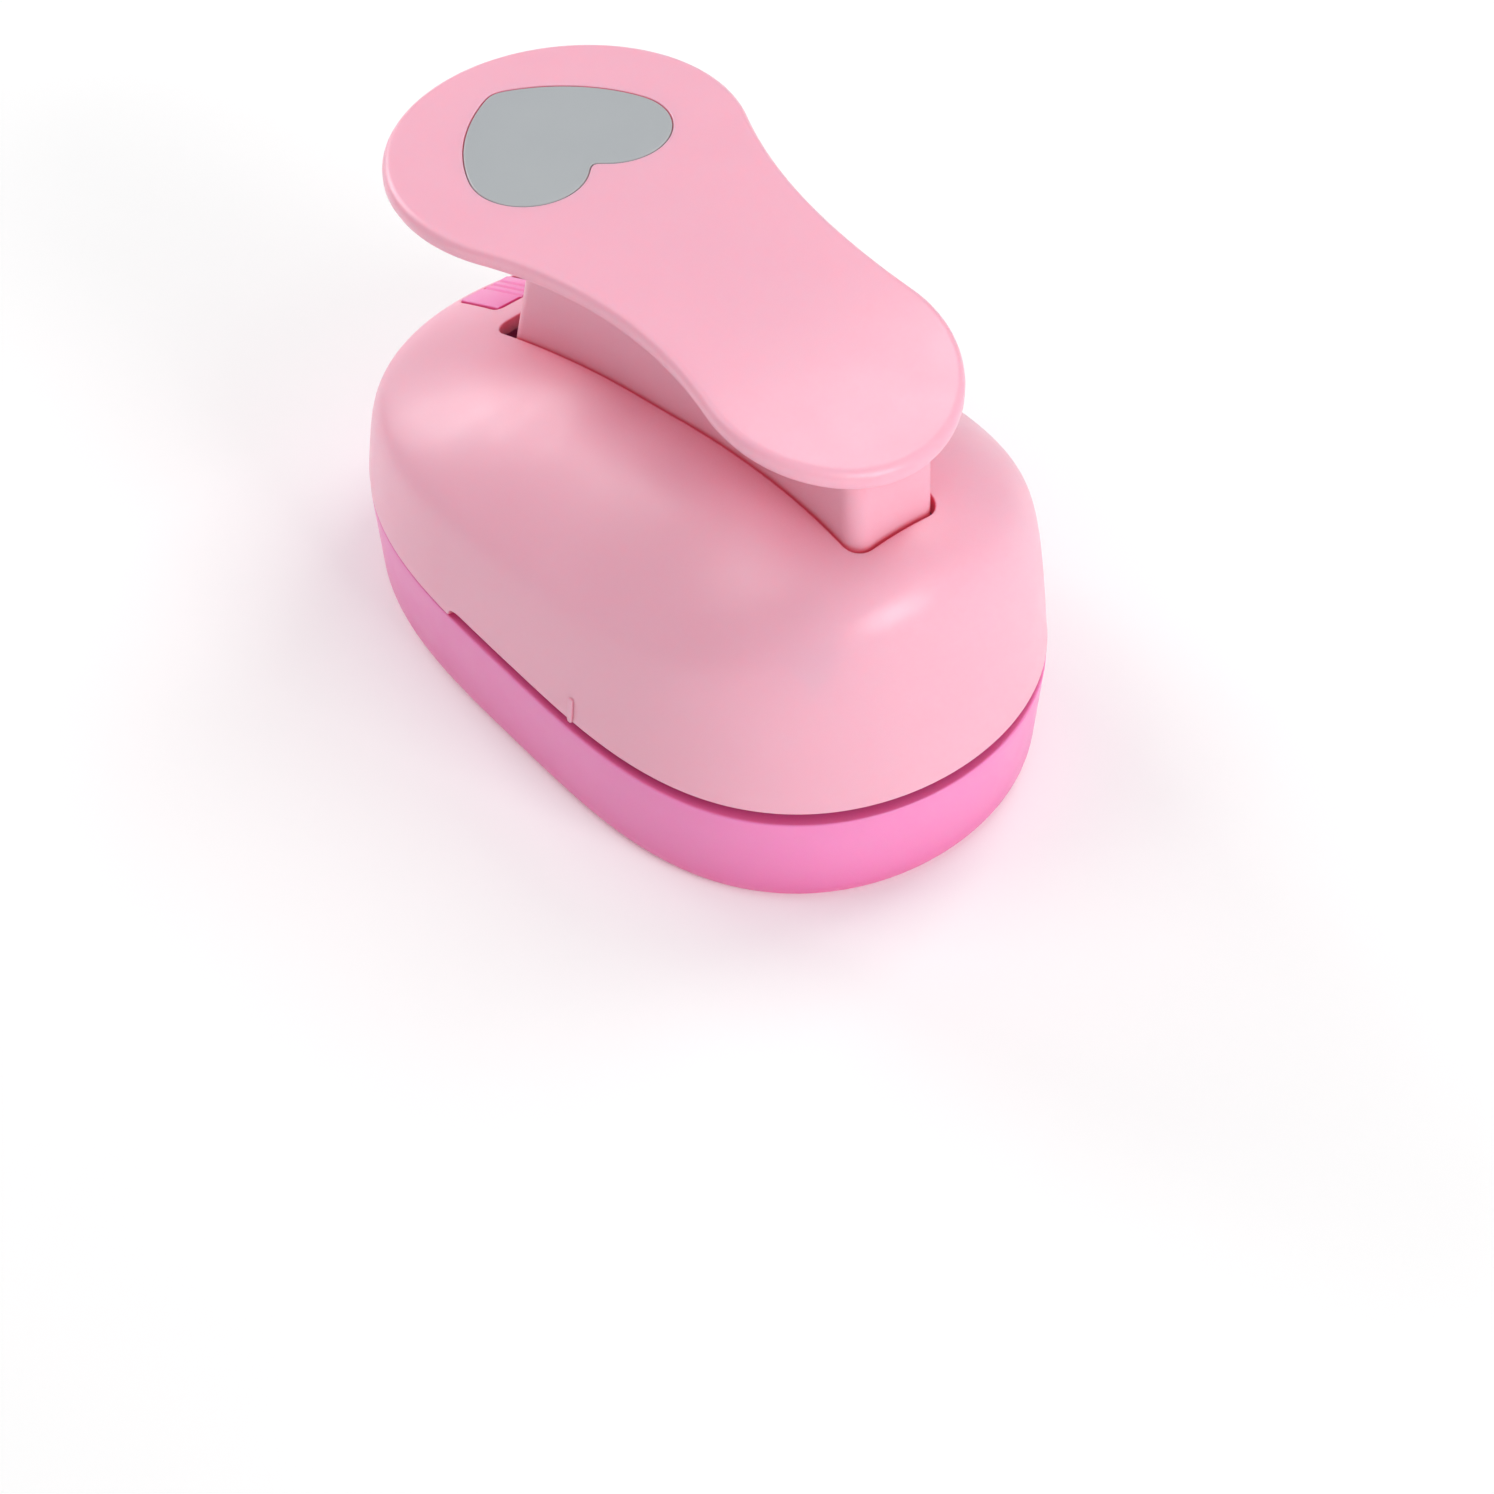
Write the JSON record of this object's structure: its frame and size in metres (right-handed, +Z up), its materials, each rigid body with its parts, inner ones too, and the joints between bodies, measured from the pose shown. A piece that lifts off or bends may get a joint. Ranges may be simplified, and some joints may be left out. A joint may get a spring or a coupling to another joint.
{
  "type": "lever craft punch",
  "caption": "Lever-action craft paper punch that cuts a heart: pink crowned housing and waisted lever on a magenta tray, with an open paper throat.",
  "frame": {"origin": "on the table plane, at the middle of the body's length and width", "axes": "+Z up, the paper throat opens towards -Y, the wide press end of the lever is at +Y, x = 0 is the symmetry plane"},
  "size_m": [0.0774, 0.1212, 0.0802],
  "materials": {
    "pink_plastic": "satin pastel pink moulding",
    "magenta_plastic": "satin orchid moulding",
    "badge_plastic": "satin silver-grey inlay",
    "steel": "zinc-plated",
    "zinc_plate": "machined die-cast alloy",
    "spring_steel": "bright drawn wire",
    "brass": "plain",
    "nylon": "natural"
  },
  "bodies": {
    "root": {"upper_housing": "pink_plastic", "base_tray": "magenta_plastic", "die_plate": "zinc_plate", "throat_spacer": "steel", "guide_plate": "zinc_plate", "hinge_bracket": "steel", "hinge_pin": "steel", "pin_clip_left": "spring_steel", "bracket_rivet_left": "steel", "guide_post_left": "steel", "post_clip_left": "spring_steel", "return_spring_left": "spring_steel", "tray_screw_left": "steel", "housing_screw_left": "steel", "guide_screw_left": "steel", "die_dowel_left": "steel", "pin_clip_right": "spring_steel", "bracket_rivet_right": "steel", "guide_post_right": "steel", "post_clip_right": "spring_steel", "return_spring_right": "spring_steel", "tray_screw_right": "steel", "housing_screw_right": "steel", "guide_screw_right": "steel", "die_dowel_right": "steel"},
    "lever": {"lever": "pink_plastic", "lever_badge": "badge_plastic", "lock_catch": "steel"},
    "ram": {"cutter": "zinc_plate", "ram_plate": "steel", "ram_button": "nylon", "ram_bush_left": "brass", "ram_screw_left": "steel", "ram_bush_right": "brass", "ram_screw_right": "steel"},
    "lock": {"lock_slider": "magenta_plastic"}
  },
  "joints": [
    {"name": "lever_hinge", "type": "hinge", "parent": "root", "child": "lever", "pos_m": [0, -0.0457, 0.045], "axis": [-1, 0, 0], "range_deg": [0, 10]},
    {"name": "ram_slide", "type": "slide", "parent": "root", "child": "ram", "axis": [0, 0, -1], "range_m": [0, 0.005], "stiffness_N_per_m": 2000, "springref_m": -0.002, "deforming": ["return_spring_left", "return_spring_right"]},
    {"name": "lock_slide", "type": "slide", "parent": "root", "child": "lock", "axis": [1, 0, 0], "range_m": [0, 0.005]}
  ],
  "couplings": [
    {"joint": "ram_slide", "follows": "lever_hinge", "m_per_rad": 0.0284}
  ]
}
